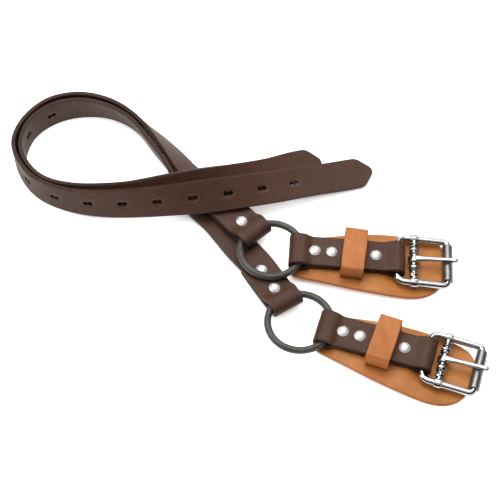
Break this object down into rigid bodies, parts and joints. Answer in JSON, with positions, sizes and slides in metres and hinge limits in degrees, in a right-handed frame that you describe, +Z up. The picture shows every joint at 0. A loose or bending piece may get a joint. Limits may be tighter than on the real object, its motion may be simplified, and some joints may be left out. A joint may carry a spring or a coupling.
{
  "type": "climbing spur lower strap pair",
  "caption": "Pair of leather leg straps, each a long punched strap and a short padded buckle strap joined by a steel ring, with a sliding keeper and a roller buckle.",
  "frame": {"origin": "centre of the bounding box in plan, on the surface the straps lie on", "axes": "+X along the length towards the buckles, +Y towards the back of the loop, +Z up"},
  "size_m": [0.335, 0.2496, 0.0337],
  "materials": {
    "strap_leather": "satin coated",
    "ring_steel": "dull dark",
    "rivet_nickel": "bright nickel",
    "burr_steel": "plain",
    "pad_leather": "natural",
    "keeper_leather": "natural",
    "buckle_chrome": "polished",
    "roller_steel": "satin"
  },
  "bodies": {
    "long_straps": {"long_strap_a": "strap_leather", "strap_rivets_a": "rivet_nickel", "strap_burrs_a": "burr_steel", "long_strap_b": "strap_leather", "strap_rivets_b": "rivet_nickel", "strap_burrs_b": "burr_steel"},
    "ring_a": {"ring_a": "ring_steel"},
    "chape_a": {"buckle_strap_a": "strap_leather", "chafe_pad_a": "pad_leather", "buckle_rivets_a": "rivet_nickel", "buckle_burrs_a": "burr_steel"},
    "keeper_a": {"keeper_a": "keeper_leather"},
    "buckle_a": {"buckle_frame_a": "buckle_chrome", "center_bar_a": "buckle_chrome"},
    "tongue_a": {"tongue_a": "buckle_chrome"},
    "roller_a": {"roller_a": "roller_steel"},
    "ring_b": {"ring_b": "ring_steel"},
    "chape_b": {"buckle_strap_b": "strap_leather", "chafe_pad_b": "pad_leather", "buckle_rivets_b": "rivet_nickel", "buckle_burrs_b": "burr_steel"},
    "keeper_b": {"keeper_b": "keeper_leather"},
    "buckle_b": {"buckle_frame_b": "buckle_chrome", "center_bar_b": "buckle_chrome"},
    "tongue_b": {"tongue_b": "buckle_chrome"},
    "roller_b": {"roller_b": "roller_steel"}
  },
  "joints": [
    {"name": "ring_a_spin", "type": "hinge", "parent": "long_straps", "child": "ring_a", "pos_m": [0.022, -0.00956, 0.01255], "axis": [0, 0, 1], "continuous": true},
    {"name": "chape_a_swing", "type": "hinge", "parent": "long_straps", "child": "chape_a", "pos_m": [0.022, -0.00956, 0.01255], "axis": [0, 0, 1], "range_deg": [0, 20]},
    {"name": "keeper_a_slide", "type": "slide", "parent": "chape_a", "child": "keeper_a", "axis": [0.997, -0.0697, -0.0349], "range_m": [-0.0018, 0.0018]},
    {"name": "buckle_a_hinge", "type": "hinge", "parent": "chape_a", "child": "buckle_a", "pos_m": [0.11034, -0.01574, 0.01016], "axis": [-0.0698, -0.9976, 0], "range_deg": [0, 60]},
    {"name": "tongue_a_hinge", "type": "hinge", "parent": "buckle_a", "child": "tongue_a", "pos_m": [0.12217, -0.01656, 0.00912], "axis": [-0.0698, -0.9976, 0], "range_deg": [0, 95]},
    {"name": "roller_a_spin", "type": "hinge", "parent": "buckle_a", "child": "roller_a", "pos_m": [0.14582, -0.01822, 0.00704], "axis": [0.0698, 0.9976, 0], "continuous": true},
    {"name": "ring_b_spin", "type": "hinge", "parent": "long_straps", "child": "ring_b", "pos_m": [0.0409, -0.06536, 0.0089], "axis": [0, 0, 1], "continuous": true},
    {"name": "chape_b_swing", "type": "hinge", "parent": "long_straps", "child": "chape_b", "pos_m": [0.0409, -0.06536, 0.0089], "axis": [0, 0, 1], "range_deg": [-30, 0]},
    {"name": "keeper_b_slide", "type": "slide", "parent": "chape_b", "child": "keeper_b", "axis": [0.9563, -0.2924, 0], "range_m": [-0.0019, 0.0019]},
    {"name": "buckle_b_hinge", "type": "hinge", "parent": "chape_b", "child": "buckle_b", "pos_m": [0.12563, -0.09126, 0.0089], "axis": [-0.2924, -0.9563, 0], "range_deg": [0, 60]},
    {"name": "tongue_b_hinge", "type": "hinge", "parent": "buckle_b", "child": "tongue_b", "pos_m": [0.13699, -0.09474, 0.00828], "axis": [-0.2924, -0.9563, 0], "range_deg": [0, 95]},
    {"name": "roller_b_spin", "type": "hinge", "parent": "buckle_b", "child": "roller_b", "pos_m": [0.15972, -0.10169, 0.00703], "axis": [0.2924, 0.9563, 0], "continuous": true}
  ]
}
